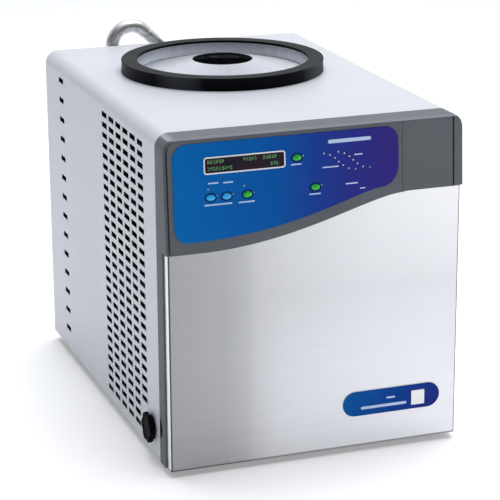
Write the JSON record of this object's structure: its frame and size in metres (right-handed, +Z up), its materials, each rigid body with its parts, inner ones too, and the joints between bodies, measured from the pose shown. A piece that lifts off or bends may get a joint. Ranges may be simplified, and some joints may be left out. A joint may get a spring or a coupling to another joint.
{
  "type": "freeze dryer",
  "caption": "Benchtop freeze dryer: pale slotted cabinet, grey control hood with blue overlay, steel front panel, and a black-gasketed collector mouth on top.",
  "frame": {"origin": "middle of the footprint, on the surface the feet stand on", "axes": "+Z up, -Y towards the control panel, +X to the right of someone facing it"},
  "size_m": [0.3664, 0.5468, 0.4272],
  "materials": {
    "white_paint": "satin powder coat",
    "grey_plastic": "fine-textured moulding",
    "stainless": "fine vertical brushing",
    "galvanised": "dull galvanised",
    "black_rubber": "matt",
    "black_plastic": "satin",
    "black_paint": "satin black enamel",
    "overlay_film": "blue shading to indigo",
    "display_lens": "gloss",
    "pale_plastic": "semi-gloss",
    "green_button": "gloss",
    "blue_button": "gloss",
    "circuit_board": "solder resist",
    "copper": "drawn copper",
    "aluminium": "mill finish",
    "brass": "machined",
    "foam": "closed-cell foam",
    "navy_plastic": "gloss"
  },
  "bodies": {
    "cabinet": {"cabinet_cover": "white_paint", "base_pan": "galvanised", "rear_panel": "white_paint", "foot_front_left": "black_rubber", "foot_front_right": "black_rubber", "foot_rear_left": "black_rubber", "foot_rear_right": "black_rubber", "front_frame": "grey_plastic", "control_fascia": "grey_plastic", "control_overlay": "overlay_film", "display_bezel": "pale_plastic", "display_screen": "display_lens", "display_module": "black_plastic", "control_board": "circuit_board", "front_panel": "stainless", "badge_plate": "navy_plastic", "badge_tile": "pale_plastic", "collector_chamber": "stainless", "chamber_gasket": "black_rubber", "collector_baffle": "stainless", "chamber_insulation": "foam", "collector_coil": "stainless", "drain_valve": "brass", "drain_tube": "pale_plastic", "vacuum_gooseneck": "galvanised", "gooseneck_sleeve": "galvanised", "vacuum_port_tube": "stainless", "pump_connection": "stainless", "gooseneck_bracket": "galvanised", "vacuum_sensor": "black_plastic", "condenser_core": "aluminium", "condenser_tube": "copper", "fan_shroud": "black_paint", "fan_bracket": "galvanised", "fan_motor": "black_paint", "compressor": "black_paint", "compressor_mount_front_left": "black_rubber", "compressor_mount_front_right": "black_rubber", "compressor_mount_rear_left": "black_rubber", "compressor_mount_rear_right": "black_rubber", "discharge_line": "copper", "filter_drier": "copper", "drier_inlet_line": "copper", "liquid_line": "copper", "suction_line": "copper", "power_supply": "galvanised", "start_capacitor": "aluminium", "power_inlet": "black_plastic", "power_switch_housing": "black_plastic"},
    "menu_button": {"menu_button": "green_button"},
    "select_button": {"select_button": "green_button"},
    "vacuum_button": {"vacuum_button": "green_button"},
    "auto_button": {"auto_button": "blue_button"},
    "manual_button": {"manual_button": "blue_button"},
    "drain_knob": {"drain_knob": "black_plastic"},
    "fan": {"fan": "black_plastic"},
    "power_rocker": {"power_rocker": "black_plastic"}
  },
  "joints": [
    {"name": "menu_button_press", "type": "slide", "parent": "cabinet", "child": "menu_button", "axis": [0, 0.9981, -0.0614], "range_m": [0, 0.0012], "stiffness_N_per_m": 400, "springref_m": -0.002},
    {"name": "select_button_press", "type": "slide", "parent": "cabinet", "child": "select_button", "axis": [0, 0.9981, -0.0614], "range_m": [0, 0.0012], "stiffness_N_per_m": 400, "springref_m": -0.002},
    {"name": "vacuum_button_press", "type": "slide", "parent": "cabinet", "child": "vacuum_button", "axis": [0, 0.9981, -0.0614], "range_m": [0, 0.0012], "stiffness_N_per_m": 400, "springref_m": -0.002},
    {"name": "auto_button_press", "type": "slide", "parent": "cabinet", "child": "auto_button", "axis": [0, 0.9981, -0.0614], "range_m": [0, 0.0012], "stiffness_N_per_m": 400, "springref_m": -0.002},
    {"name": "manual_button_press", "type": "slide", "parent": "cabinet", "child": "manual_button", "axis": [0, 0.9981, -0.0614], "range_m": [0, 0.0012], "stiffness_N_per_m": 400, "springref_m": -0.002},
    {"name": "drain_knob_turn", "type": "hinge", "parent": "cabinet", "child": "drain_knob", "pos_m": [-0.1793, -0.20659, 0.041], "axis": [-1, 0, 0], "range_deg": [0, 360]},
    {"name": "fan_spin", "type": "hinge", "parent": "cabinet", "child": "fan", "pos_m": [-0.1118, -0.09659, 0.1043], "axis": [1, 0, 0], "continuous": true},
    {"name": "power_rocker_tip", "type": "hinge", "parent": "cabinet", "child": "power_rocker", "pos_m": [0.1002, 0.24241, 0.062], "axis": [1, 0, 0], "range_deg": [0, 16]}
  ]
}
